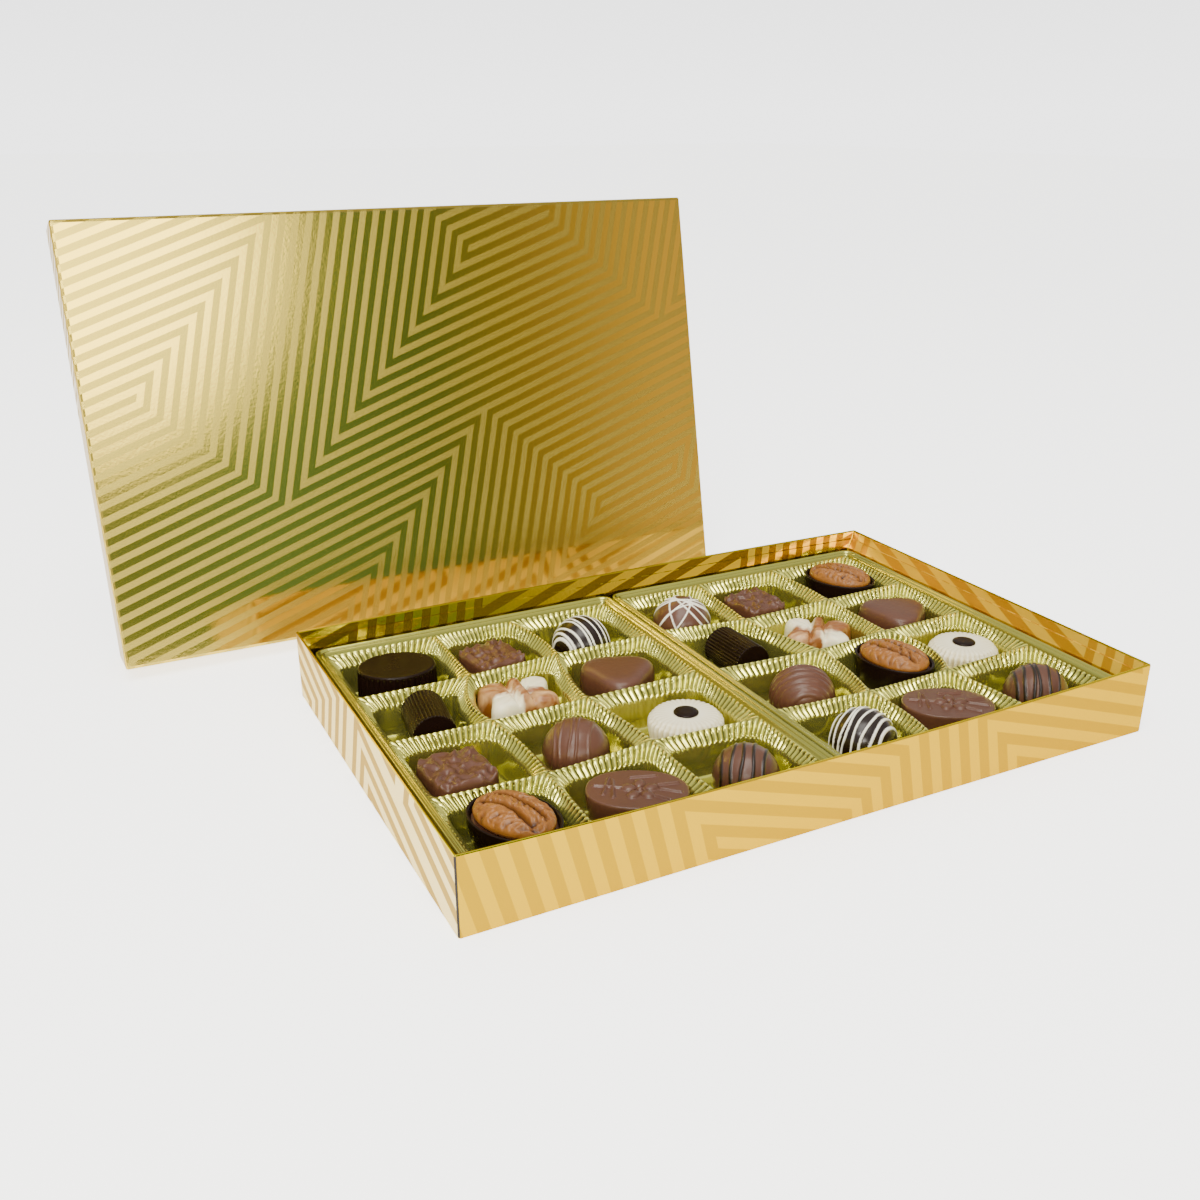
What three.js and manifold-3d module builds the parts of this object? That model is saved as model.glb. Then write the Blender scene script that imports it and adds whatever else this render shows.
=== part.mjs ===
// An open gift box of chocolate pralines, in millimetres, +Z up, seen from the front along +Y.
// A shallow card box stands on the floor and holds two moulded trays of twelve cavities each.
// Its lid stands on edge behind it and leans back. The origin is the middle of the box's underside.
import * as THREE from 'three';
import { mergeVertices } from 'three/addons/utils/BufferGeometryUtils.js';
import Module from 'manifold-3d';

// Box of folded, foil-covered card
const BOX_LENGTH = 330;
const BOX_WIDTH = 211.3;
const BOX_HEIGHT = 33.7;
const BOX_FLOOR = 1.2;
const BOX_RIM = 1.2;
const BOX_WALL = 3.2;
const CARD_CORNER = 0.6;

// Lid, a little larger, standing on the back rim of its lower wall
const LID_LENGTH = 333.3;
const LID_WIDTH = 214.6;
const LID_WALL = 1.2;
const LID_LEAN = THREE.MathUtils.degToRad(11.8);
const LID_YAW = THREE.MathUtils.degToRad(-0.66);
const LID_LEFT = -238.1;
const LID_FRONT = 158.6;

// Moulded trays of thin plastic
const TRAY_HALF_LENGTH = 79.2;
const TRAY_HALF_WIDTH = 101.8;
const TRAY_CORNER = 5;
const TRAY_SHEET = 0.6;
const TRAY_SKIRT = 18.5;
const TRAY_LIP_TOP = 24.3;
const TRAY_STEP = 23.1;
const TRAY_LAND = 22;
const TRAY_FLOOR = 2.1;
const SHOULDER_HEIGHT = 14;
const LAND_INSET = 1.7;
const SHOULDER_INSET = 2.8;
const FLOOR_INSET = 3.6;
const CAVITY_POINTS = 16;
const CAVITY_POWER = 5;
const INNER_X = 74.2;
const INNER_Y = 96.8;

// What rests on or in another thing keeps this gap to it
const GAP = 0.3;
const PRALINE_BASE = TRAY_FLOOR + GAP;

// The ridges of each tray run unevenly. ridgeX holds, from the back line to the front line,
// where the two long ridges stand; ridgeY holds the three cross ridges, from left to right;
// bulge is how far each long ridge bows to the right beside each row of cavities.
const TRAYS = {
  left: {
    middle: -79.8,
    ridgeX: [[-19.7, 20], [-20.6, 25.3], [-28.5, 17], [-26.3, 23.5], [-27, 26]],
    ridgeY: [[47, 46.5, 50, 50], [1.5, 0, 1, 2.5], [-48.5, -51, -46.5, -50]],
    bulge: [[0, 3], [-5.5, -2], [2, 1], [0, -1]],
  },
  right: {
    middle: 79.2,
    ridgeX: [[-26.5, 21.5], [-30.3, 24], [-18.8, 24], [-26.5, 20], [-29.8, 25.4]],
    ridgeY: [[51, 44.5, 47.5, 49], [0, -3.5, 0.5, 2], [-47, -50.5, -49, -46]],
    bulge: [[0, 1.5], [-1, 0], [2, 8], [2.5, 1]],
  },
};

const COLOURS = {
  foil: { color: 0xd9b25c, metalness: 0.8, roughness: 0.35 },
  tray: { color: 0xc2bd62, metalness: 0.9, roughness: 0.25 },
  milk: { color: 0x75513f, metalness: 0, roughness: 0.4 },
  dark: { color: 0x2c1c16, metalness: 0, roughness: 0.35 },
  white: { color: 0xe9e2cc, metalness: 0, roughness: 0.45 },
  marbled: { color: 0xd3a47c, metalness: 0, roughness: 0.45 },
  pecan: { color: 0xa9683c, metalness: 0, roughness: 0.7 },
};
const finish = Object.fromEntries(
  Object.entries(COLOURS).map(([name, values]) => [name, new THREE.MeshStandardMaterial(values)]));

const box = new THREE.Group();

function addPiece(name, geometry, material, parent = box) {
  geometry.computeVertexNormals();
  const mesh = new THREE.Mesh(geometry, material);
  mesh.name = name;
  parent.add(mesh);
  return mesh;
}

function geometryFrom(triangles) {
  const geometry = new THREE.BufferGeometry();
  const numbers = triangles.flatMap(point => [point.x, point.y, point.z]);
  geometry.setAttribute('position', new THREE.Float32BufferAttribute(numbers, 3));
  return geometry;
}

// A ring of count points, counterclockwise seen from above; place gives the point at an angle.
function ring(count, place) {
  return Array.from({ length: count }, (_, i) => place(2 * Math.PI * i / count));
}

// The band of triangles between two rings of equal count, facing out of a path that goes up.
function band(lower, upper) {
  return lower.flatMap((point, i) => {
    const next = (i + 1) % lower.length;
    return [point, lower[next], upper[next], point, upper[next], upper[i]];
  });
}

function middleOf(points) {
  const sum = points.reduce((total, point) => total.add(point), new THREE.Vector3());
  return sum.divideScalar(points.length);
}

function fan(points, facingUp) {
  const middle = middleOf(points);
  return points.flatMap((point, i) => {
    const next = points[(i + 1) % points.length];
    return facingUp ? [middle, point, next] : [middle, next, point];
  });
}

// A closed solid through a stack of rings, from its underside round to its top or inner floor.
function solidThrough(rings) {
  const sides = rings.slice(1).flatMap((upper, i) => band(rings[i], upper));
  return geometryFrom([...fan(rings[0], false), ...sides, ...fan(rings.at(-1), true)]);
}

// A rounded square or oval: power 2 is an ellipse, a higher power is squarer.
function roundedPoint(angle, halfX, halfY, power) {
  const bend = value => Math.sign(value) * Math.abs(value) ** (2 / power);
  return [halfX * bend(Math.cos(angle)), halfY * bend(Math.sin(angle))];
}

// A rectangle with each corner turned in cornerPoints steps, as one ring.
function rectangleRing(halfX, halfY, z, corner, cornerPoints) {
  const points = [];
  for (const [signX, signY, start] of [[1, 1, 0], [-1, 1, 1], [-1, -1, 2], [1, -1, 3]]) {
    for (let i = 0; i < cornerPoints; i += 1) {
      const angle = (start + i / (cornerPoints - 1)) * Math.PI / 2;
      points.push(new THREE.Vector3(
        signX * (halfX - corner) + corner * Math.cos(angle),
        signY * (halfY - corner) + corner * Math.sin(angle), z));
    }
  }
  return points;
}

// An open card box: flat outside, with walls that lean in a little towards the foot.
function cardBox(length, width, height, floor, rim, wall) {
  const at = (inset, z) => rectangleRing(length / 2 - inset, width / 2 - inset, z, CARD_CORNER, 2);
  return solidThrough([at(0, 0), at(0, height), at(rim, height), at(wall, TRAY_LIP_TOP), at(wall, floor)]);
}

addPiece('box_base', cardBox(BOX_LENGTH, BOX_WIDTH, BOX_HEIGHT, BOX_FLOOR, BOX_RIM, BOX_WALL), finish.foil);

// The lid is made lying on its face, then stood up: its face looks forward and leans back.
const lidPlace = new THREE.Group();
lidPlace.position.set(LID_LEFT, LID_FRONT, BOX_HEIGHT * Math.sin(LID_LEAN));
lidPlace.rotation.z = LID_YAW;
box.add(lidPlace);
const lid = addPiece('lid', cardBox(LID_LENGTH, LID_WIDTH, BOX_HEIGHT, LID_WALL, LID_WALL, LID_WALL),
  finish.foil, lidPlace);
lid.geometry.translate(LID_LENGTH / 2, -LID_WIDTH / 2, 0);
lid.rotation.x = -Math.PI / 2 - LID_LEAN;

// Corner of the grid of ridges, line 0 at the back and column 0 at the left.
function ridgeCorner(tray, line, column) {
  const x = column === 0 ? -INNER_X : column === 3 ? INNER_X : tray.ridgeX[line][column - 1];
  const y = line === 0 ? INNER_Y : line === 4 ? -INNER_Y : tray.ridgeY[line - 1][column];
  return [x, y];
}

// A point of a cavity from its own coordinates u and v, both from -1 to 1.
function cavityPoint(tray, row, column, u, v) {
  const corners = [[row, column], [row, column + 1], [row + 1, column], [row + 1, column + 1]];
  const shares = [(1 - u) * (1 + v), (1 + u) * (1 + v), (1 - u) * (1 - v), (1 + u) * (1 - v)];
  let x = 0;
  let y = 0;
  corners.forEach(([line, side], i) => {
    const [cornerX, cornerY] = ridgeCorner(tray, line, side);
    x += cornerX * shares[i] / 4;
    y += cornerY * shares[i] / 4;
  });
  const leftBow = column === 0 ? 0 : tray.bulge[row][column - 1];
  const rightBow = column === 2 ? 0 : tray.bulge[row][column];
  x += (leftBow * (1 - u) + rightBow * (1 + u)) / 2 * (1 - v * v);
  return [x, y];
}

// A level ring of a cavity's wall, inset from the ridge lines round it.
function cavityRing(tray, row, column, inset, z) {
  const [left] = cavityPoint(tray, row, column, -1, 0);
  const [right] = cavityPoint(tray, row, column, 1, 0);
  const [, front] = cavityPoint(tray, row, column, 0, -1);
  const [, back] = cavityPoint(tray, row, column, 0, 1);
  const halfU = 1 - 2 * inset / (right - left);
  const halfV = 1 - 2 * inset / (back - front);
  return ring(CAVITY_POINTS, angle => {
    const [u, v] = roundedPoint(angle, halfU, halfV, CAVITY_POWER);
    const [x, y] = cavityPoint(tray, row, column, u, v);
    return new THREE.Vector3(x, y, z);
  });
}

// One side of the tray's flat web: the lip's inner ring with twelve holes in it.
function web(contour, holes, facingUp) {
  const flat = points => points.map(point => new THREE.Vector2(point.x, point.y));
  const all = [contour, ...holes].flat();
  const faces = THREE.ShapeUtils.triangulateShape(flat(contour), holes.map(flat));
  return faces.flatMap(face => {
    const [a, b, c] = face.map(index => all[index]);
    const turn = (b.x - a.x) * (c.y - a.y) - (b.y - a.y) * (c.x - a.x);
    return (turn > 0) === facingUp ? [a, b, c] : [a, c, b];
  });
}

// A tray is a thin sheet: a skirt and a raised double lip round a web with twelve pockets in it.
function trayGeometry(tray) {
  const border = (inset, z) => rectangleRing(
    TRAY_HALF_LENGTH - inset, TRAY_HALF_WIDTH - inset, z, TRAY_CORNER, 3);
  const t = TRAY_SHEET;
  const rings = [
    border(5, TRAY_LAND - t), border(3.6, TRAY_STEP - t), border(2.6, TRAY_LIP_TOP - t),
    border(t, TRAY_LIP_TOP - t), border(t, TRAY_SKIRT), border(0, TRAY_SKIRT),
    border(0, TRAY_LIP_TOP), border(2, TRAY_LIP_TOP), border(3, TRAY_STEP), border(5, TRAY_LAND),
  ];
  const triangles = rings.slice(1).flatMap((upper, i) => band(rings[i], upper));
  const upperHoles = [];
  const lowerHoles = [];
  for (let row = 0; row < 4; row += 1) {
    for (let column = 0; column < 3; column += 1) {
      const cavity = (inset, z) => cavityRing(tray, row, column, inset, z);
      const upper = [
        cavity(LAND_INSET, TRAY_LAND), cavity(SHOULDER_INSET, SHOULDER_HEIGHT),
        cavity(FLOOR_INSET, TRAY_FLOOR)];
      const lower = [
        cavity(FLOOR_INSET - t, TRAY_FLOOR - t), cavity(SHOULDER_INSET - t, SHOULDER_HEIGHT - t),
        cavity(LAND_INSET - t, TRAY_LAND - t)];
      upperHoles.push(upper[0]);
      lowerHoles.push(lower[2]);
      triangles.push(...band(upper[0], upper[1]), ...band(upper[1], upper[2]), ...fan(upper[2], true));
      triangles.push(...fan(lower[0], false), ...band(lower[0], lower[1]), ...band(lower[1], lower[2]));
    }
  }
  triangles.push(...web(rings.at(-1), upperHoles, true), ...web(rings[0], lowerHoles, false));
  return geometryFrom(triangles);
}

for (const [side, tray] of Object.entries(TRAYS)) {
  addPiece(`tray_${side}`, trayGeometry(tray), finish.tray).position.x = tray.middle;
}

// Ball praline: a sphere with a flat foot and raised drizzled lines that run across it side by side.
// It is turned about a level axis, so that each line is a ring of its profile, then the foot is flattened.
const BALL_MIDDLE = 0.72;
const LINE_HEIGHT = 0.45;
const BALL_POINTS = 12;
function ball(radius, lines, lineWidth) {
  const middle = BALL_MIDDLE * radius;
  const profile = lines.flatMap(line => [line - lineWidth, line, line + lineWidth]);
  const rings = profile.map((along, i) => {
    const raised = i % 3 === 1 ? LINE_HEIGHT : 0;
    const reach = Math.sqrt(radius ** 2 - along ** 2) + raised;
    return ring(BALL_POINTS, angle => {
      const turned = angle + Math.PI / BALL_POINTS;
      const height = Math.max(middle - reach * Math.cos(turned), 0);
      return new THREE.Vector3(along, reach * Math.sin(turned), height);
    });
  });
  const pole = end => new THREE.Vector3(end, 0, middle);
  const cap = (points, tip, first) => points.flatMap((point, i) => {
    const next = points[(i + 1) % points.length];
    return first ? [tip, next, point] : [tip, point, next];
  });
  const sides = rings.slice(1).flatMap((upper, i) => band(rings[i], upper));
  return geometryFrom([
    ...cap(rings[0], pole(-radius), true), ...sides, ...cap(rings.at(-1), pole(radius), false)]);
}

// manifold-3d joins and trims closed meshes.
const wasm = await Module();
wasm.setup();

function toManifold(geometry) {
  const bare = geometry.clone();
  bare.deleteAttribute('normal');
  bare.deleteAttribute('uv');
  const merged = mergeVertices(bare, 1e-4);
  return new wasm.Manifold(new wasm.Mesh({
    numProp: 3,
    vertProperties: new Float32Array(merged.attributes.position.array),
    triVerts: new Uint32Array(merged.index.array),
  }));
}

function fromManifold(solid) {
  const mesh = solid.getMesh();
  const geometry = new THREE.BufferGeometry();
  geometry.setAttribute('position', new THREE.BufferAttribute(mesh.vertProperties, 3));
  geometry.setIndex(new THREE.BufferAttribute(mesh.triVerts, 1));
  return geometry;
}

// Ball praline with drizzled lines that cross: rings of chocolate in two upright planes, joined to the ball.
// Each crossing line has its plane's turn about the upright axis, and its distance from the middle.
const CROSSING_LINES = [[0.45, -2], [1.8, 1]];
const CROSSING_THICKNESS = 0.7;
function crossedBall(radius) {
  const middle = BALL_MIDDLE * radius;
  const size = 4 * radius;
  const above = new THREE.BoxGeometry(size, size, size).translate(0, 0, size / 2);
  const sphere = new THREE.SphereGeometry(radius, 16, 8).rotateX(Math.PI / 2).translate(0, 0, middle);
  let solid = toManifold(sphere);
  for (const [turn, offset] of CROSSING_LINES) {
    const reach = Math.sqrt(radius ** 2 - offset ** 2);
    const line = new THREE.TorusGeometry(reach, CROSSING_THICKNESS, 3, 16);
    line.rotateY(Math.PI / 2).translate(offset, 0, middle).rotateZ(turn);
    solid = solid.add(toManifold(line));
  }
  return fromManifold(solid.intersect(toManifold(above)));
}

// Oval or round moulded praline whose side is fluted.
// Each level holds its share of the half size, its height and the depth of its flutes.
function fluted(halfX, halfY, flutes, levels) {
  const rings = levels.map(([share, z, depth]) => ring(flutes * 2, angle => {
    const groove = depth * (1 + Math.cos(flutes * angle)) / 2;
    return new THREE.Vector3(
      (halfX * share - groove) * Math.cos(angle), (halfY * share - groove) * Math.sin(angle), z);
  }));
  return solidThrough(rings);
}

function darkOval() {
  return fluted(19.6, 16.2, 28, [[0.97, 0, 0.7], [0.93, 17, 0.7], [0.89, 18.6, 0]]);
}

const WHITE_RADIUS = 16.9;
const WHITE_HEIGHT = 15.8;
function whiteRound() {
  return fluted(WHITE_RADIUS, WHITE_RADIUS, 16, [
    [0.88, 0, 0.5], [1, 11, 0.7], [0.95, 14, 0.5], [0.84, 15.4, 0.2], [0.4, WHITE_HEIGHT, 0]]);
}

// Log praline: a fluted cylinder on its side.
const LOG_RADIUS = 10;
const LOG_LENGTH = 28;
const LOG_FLUTE_DEPTH = 0.6;
function log() {
  const flutes = 22;
  const ends = [-LOG_LENGTH / 2, LOG_LENGTH / 2];
  const rings = ends.map(z => ring(flutes * 2, angle => {
    const radius = LOG_RADIUS - LOG_FLUTE_DEPTH * (1 + Math.cos(flutes * angle)) / 2;
    return new THREE.Vector3(radius * Math.cos(angle), radius * Math.sin(angle), z);
  }));
  return solidThrough(rings).rotateX(Math.PI / 2).translate(0, 0, LOG_RADIUS);
}

// Square praline with a craggy top: its top ring and middle rise and fall unevenly.
function craggySquare(halfX, halfY) {
  const square = (share, z, crag) => ring(20, angle => {
    const [x, y] = roundedPoint(angle, halfX * share, halfY * share, 6);
    return new THREE.Vector3(x, y, z + crag * (Math.sin(3 * angle + 0.6) + Math.sin(5 * angle + 2)));
  });
  return solidThrough([
    square(0.97, 0, 0), square(1, 5, 0), square(0.96, 14, 0.6),
    square(0.73, 15.8, 0.9), square(0.33, 16, 0.7)]);
}

// Butterfly praline: four round wings on a long ridged body, as one outline that swells and narrows.
const BUTTERFLY_HEIGHT = 19;
const BUTTERFLY_BODY = 10.3;
// Each wing has its direction, its reach beyond the body, and its spread, both angles in radians.
const WINGS = [[0.68, 10.2, 0.5], [2.46, 10.2, 0.5], [-0.6, 8.4, 0.45], [-2.54, 8.4, 0.45]];
function butterfly() {
  const wing = (angle, toward, reach, spread) => {
    const apart = Math.atan2(Math.sin(angle - toward), Math.cos(angle - toward));
    return reach * Math.exp(-((apart / spread) ** 2));
  };
  const outline = angle => {
    const reaches = WINGS.map(([toward, reach, spread]) => wing(angle, toward, reach, spread));
    return BUTTERFLY_BODY + reaches.reduce((sum, reach) => sum + reach, 0);
  };
  const level = (share, z) => ring(32, angle => {
    const radius = outline(angle) * share;
    return new THREE.Vector3(radius * Math.cos(angle), radius * Math.sin(angle), z);
  });
  return solidThrough([
    level(0.95, 0), level(1, 6), level(0.96, 12),
    level(0.82, BUTTERFLY_HEIGHT - 1), level(0.35, BUTTERFLY_HEIGHT)]);
}

// Smooth praline on a rounded triangle, whose radius swells at its three corners.
const TRIANGLE_RADIUS = 17;
const TRIANGLE_SWELL = 2.2;
function triangle() {
  const level = (share, z) => ring(24, angle => {
    const radius = share * (TRIANGLE_RADIUS + TRIANGLE_SWELL * Math.cos(3 * angle));
    return new THREE.Vector3(radius * Math.cos(angle), radius * Math.sin(angle), z);
  });
  return solidThrough([level(0.91, 0), level(1, 5), level(0.96, 14), level(0.84, 17.6), level(0.4, 18.8)]);
}

// Oval praline with a flat top that carries a low raised flower.
const RELIEF_HALF_X = 20.3;
const RELIEF_HALF_Y = 14.6;
function reliefOval() {
  const level = (share, z) => ring(28, angle => {
    const [x, y] = roundedPoint(angle, RELIEF_HALF_X * share, RELIEF_HALF_Y * share, 2.2);
    return new THREE.Vector3(x, y, z);
  });
  const flower = (reach, depth, z) => ring(28, angle => {
    const radius = reach + depth * Math.cos(7 * angle);
    return new THREE.Vector3(radius * Math.cos(angle), radius * Math.sin(angle), z);
  });
  return solidThrough([
    level(0.9, 0), level(1, 14.6), level(0.96, 16.2), flower(6.4, 1, 16.2), flower(4, 0.8, 17)]);
}

// Pecan praline: a deep oval cup of dark chocolate, its soft filling, and half a pecan on top.
const CUP_HALF_X = 20.4;
const CUP_HALF_Y = 15.3;
const CUP_HEIGHT = 18.4;
const CUP_WALL = 1.6;
const FILLING_TOP = 16.2;
const NUT_HALF_X = 17.6;
const NUT_HALF_Y = 12.4;
const NUT_HEIGHT = 7.4;
function cupOval(share, inset, z, count = 20) {
  return ring(count, angle => new THREE.Vector3(
    (CUP_HALF_X * share - inset) * Math.cos(angle), (CUP_HALF_Y * share - inset) * Math.sin(angle), z));
}
function cup() {
  return solidThrough([
    cupOval(0.76, 0, 0), cupOval(0.92, 0, 8), cupOval(1, 0, CUP_HEIGHT),
    cupOval(1, CUP_WALL, CUP_HEIGHT), cupOval(0.93, CUP_WALL, 8), cupOval(0.8, CUP_WALL, CUP_WALL)]);
}
function filling() {
  const inset = CUP_WALL + GAP;
  return solidThrough([
    cupOval(0.8, inset, CUP_WALL + GAP), cupOval(0.93, inset, 8), cupOval(0.98, inset, FILLING_TOP)]);
}

// Half a pecan: a long dome with a deep groove on each side of its middle ridge.
function nut() {
  const count = 20;
  const levels = [[0.9, 0], [1, 1.6], [0.93, 3.8], [0.74, 5.9], [0.42, 7]];
  const rings = levels.map(([share, z]) => ring(count, angle => {
    const x = NUT_HALF_X * share * Math.cos(angle);
    const y = NUT_HALF_Y * share * Math.sin(angle);
    const groove = Math.exp(-(((Math.abs(y) - 3.4) / 1.4) ** 2)) * z / NUT_HEIGHT;
    return new THREE.Vector3(x, y, z - 1.6 * groove);
  }));
  return solidThrough(rings);
}

// Lines across a ball, by their distance from its middle.
const FIVE_LINES = [-9, -4.6, -0.2, 4.4, 8.8];
const SIX_LINES = [-10.5, -6.4, -2.2, 2, 6.2, 10.3];

// Each praline's name, shape, finish, place along x and y, and turn in degrees, row by row from the back.
const PRALINES = [
  ['dark_oval', darkOval(), finish.dark, -126.2, 74.6, -12],
  ['craggy_square_left_back', craggySquare(12.8, 14.6), finish.milk, -79, 72, 12],
  ['striped_ball_left_back', ball(14.5, SIX_LINES, 0.7), finish.dark, -30.6, 72, 16],
  ['log_left', log(), finish.dark, -127.4, 27.8, -8],
  ['butterfly_left', butterfly(), finish.marbled, -84.4, 26, -4],
  ['triangle_left', triangle(), finish.milk, -34, 25.4, 10],
  ['craggy_square_left_front', craggySquare(14.2, 15), finish.milk, -133.6, -24, 4],
  ['striped_ball_left_middle', ball(14.3, FIVE_LINES, 0.6), finish.milk, -81.2, -25.8, -27],
  ['white_round_left', whiteRound(), finish.white, -27.6, -25.6, 0],
  ['pecan_cup_left', cup(), finish.dark, -129.4, -72.4, -66],
  ['relief_oval_left', reliefOval(), finish.milk, -77.8, -73, -30],
  ['striped_ball_left_front', ball(13.8, FIVE_LINES, 0.8), finish.milk, -29, -75.6, -38],
  ['striped_ball_right_back', crossedBall(15.1), finish.milk, 27, 70.4, 0],
  ['craggy_square_right', craggySquare(12.6, 15.2), finish.milk, 73.6, 72.4, 6],
  ['pecan_cup_right_back', cup(), finish.dark, 131.4, 74, -66],
  ['log_right', log(), finish.dark, 32.8, 26.8, 2],
  ['butterfly_right', butterfly(), finish.marbled, 78.8, 22.4, -36],
  ['triangle_right', triangle(), finish.milk, 130.6, 25.2, 10],
  ['ridged_ball_right', ball(14.7, SIX_LINES, 0.9), finish.milk, 33.5, -27, 63],
  ['pecan_cup_right_middle', cup(), finish.dark, 88.2, -24.8, -76],
  ['white_round_right', whiteRound(), finish.white, 133.6, -23, 0],
  ['striped_ball_right_front', ball(14.4, SIX_LINES, 0.7), finish.dark, 31.4, -73.8, 72],
  ['relief_oval_right', reliefOval(), finish.milk, 80.8, -70.8, -32],
  ['striped_ball_right_corner', ball(14.7, FIVE_LINES, 0.8), finish.milk, 129.4, -75.4, -35],
];

// A dot of dark chocolate, its top a little smaller than its foot.
const DOT_RADIUS = 5.6;
const DOT_TOP_RADIUS = 4.48;
const DOT_THICKNESS = 0.9;
function dot() {
  const level = (radius, z) => ring(16, angle => new THREE.Vector3(
    radius * Math.cos(angle), radius * Math.sin(angle), z));
  return solidThrough([level(DOT_RADIUS, 0), level(DOT_TOP_RADIUS, DOT_THICKNESS)]);
}

for (const [name, shape, material, x, y, turn] of PRALINES) {
  const place = new THREE.Group();
  place.position.set(x, y, PRALINE_BASE);
  place.rotation.z = THREE.MathUtils.degToRad(turn);
  box.add(place);
  addPiece(name, shape, material, place);
  if (name.startsWith('pecan_cup')) {
    const which = name.replace('pecan_cup_', '');
    addPiece(`pecan_filling_${which}`, filling(), finish.milk, place);
    addPiece(`pecan_half_${which}`, nut(), finish.pecan, place).position.z = FILLING_TOP + GAP;
  }
  if (name.startsWith('white_round')) {
    const which = name.replace('white_round_', '');
    addPiece(`dark_dot_${which}`, dot(), finish.dark, place).position.z = WHITE_HEIGHT + GAP;
  }
}

export default box;
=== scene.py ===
"""An open gift box of chocolate pralines in two moulded trays, with its patterned lid standing behind it."""

import math

import bpy
import numpy as np
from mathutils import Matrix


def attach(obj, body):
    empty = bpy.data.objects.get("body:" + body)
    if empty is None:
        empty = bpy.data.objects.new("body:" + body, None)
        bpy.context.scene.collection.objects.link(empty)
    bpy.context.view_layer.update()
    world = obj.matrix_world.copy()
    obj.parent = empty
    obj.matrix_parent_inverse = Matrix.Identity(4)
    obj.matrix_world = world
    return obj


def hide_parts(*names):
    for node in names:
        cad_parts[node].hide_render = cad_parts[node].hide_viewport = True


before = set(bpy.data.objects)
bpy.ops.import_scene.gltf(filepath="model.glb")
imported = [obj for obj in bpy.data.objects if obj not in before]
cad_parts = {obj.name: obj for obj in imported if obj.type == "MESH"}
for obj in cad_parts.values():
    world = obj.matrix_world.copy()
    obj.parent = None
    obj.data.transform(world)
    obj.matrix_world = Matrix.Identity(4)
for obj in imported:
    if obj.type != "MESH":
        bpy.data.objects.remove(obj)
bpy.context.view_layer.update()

# Floor
# A seamless white studio sweep, bright enough to lose its far edge in the white behind it.
# Only a soft shade stays on it close to the box and the lid.
METRES_PER_MM = 0.001


def linear(hex_colour):
    """Turns an sRGB hex colour into linear red, green, blue and alpha."""
    parts = [int(hex_colour[i : i + 2], 16) / 255 for i in (1, 3, 5)]
    return [p / 12.92 if p <= 0.04045 else ((p + 0.055) / 1.055) ** 2.4 for p in parts] + [1.0]


def add_node(tree, kind, values=None, **settings):
    """Adds a shader node. values maps inputs, by name or number, to constants or to sockets."""
    node = tree.nodes.new("ShaderNode" + kind)
    for name, value in settings.items():
        setattr(node, name, value)
    for key, value in (values or {}).items():
        if isinstance(value, bpy.types.NodeSocket):
            tree.links.new(value, node.inputs[key])
        else:
            node.inputs[key].default_value = value
    return node


def new_material(name):
    """Returns a new material, its empty node tree and the socket for its surface."""
    material = bpy.data.materials.new(name)
    material.use_nodes = True
    tree = material.node_tree
    tree.nodes.clear()
    return material, tree, add_node(tree, "OutputMaterial").inputs["Surface"]


def mesh_object(name, points_mm, face_groups, material, smooth=True):
    """Makes a mesh from points in millimetres and arrays of quads or triangles, in the row frame."""
    mesh = bpy.data.meshes.new(name)
    mesh.vertices.add(len(points_mm))
    mesh.vertices.foreach_set("co", (np.asarray(points_mm) * METRES_PER_MM).astype(np.float32).ravel())
    corners = np.concatenate([group.ravel() for group in face_groups]).astype(np.int32)
    sizes = np.concatenate([np.full(len(group), group.shape[1]) for group in face_groups])
    mesh.loops.add(len(corners))
    mesh.loops.foreach_set("vertex_index", corners)
    mesh.polygons.add(len(sizes))
    mesh.polygons.foreach_set("loop_start", (np.cumsum(sizes) - sizes).astype(np.int32))
    mesh.update(calc_edges=True)
    mesh.polygons.foreach_set("use_smooth", np.full(len(sizes), smooth))
    mesh.materials.append(material)
    thing = bpy.data.objects.new(name, mesh)
    bpy.context.scene.collection.objects.link(thing)
    return thing


# Matt coated paper shows no gloss. Its own light stands for the flash that burns the sweep out to white.
FLOOR_GLOW = 2.2
white_paper, tree, surface = new_material("white_studio_paper")
paper = add_node(tree, "BsdfPrincipled", {
    "Base Color": linear("#FBFBFB"), "Roughness": 0.9, "Emission Color": linear("#FFFFFF"),
    "Emission Strength": FLOOR_GLOW})
tree.links.new(paper.outputs["BSDF"], surface)
floor_points = np.array([[-6000, -3000, 0], [6000, -3000, 0], [6000, 9000, 0], [-6000, 9000, 0]], float)
floor = mesh_object("floor", floor_points, [np.array([[0, 1, 2, 3]])], white_paper, smooth=False)

# Light
# A bright low horizon all round, a dimmer room above it, and darker greenish and warm things behind the
# camera, which the mirror foil picks up. Two soft lamps and a small hard one light the box.
world = bpy.data.worlds.new("studio_room")
bpy.context.scene.world = world
world.use_nodes = True
tree = world.node_tree
tree.nodes.clear()
WORLD_STRENGTH = 3.6
toward = add_node(tree, "TexCoord").outputs["Generated"]
direction = add_node(tree, "SeparateXYZ", {0: toward})

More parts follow.
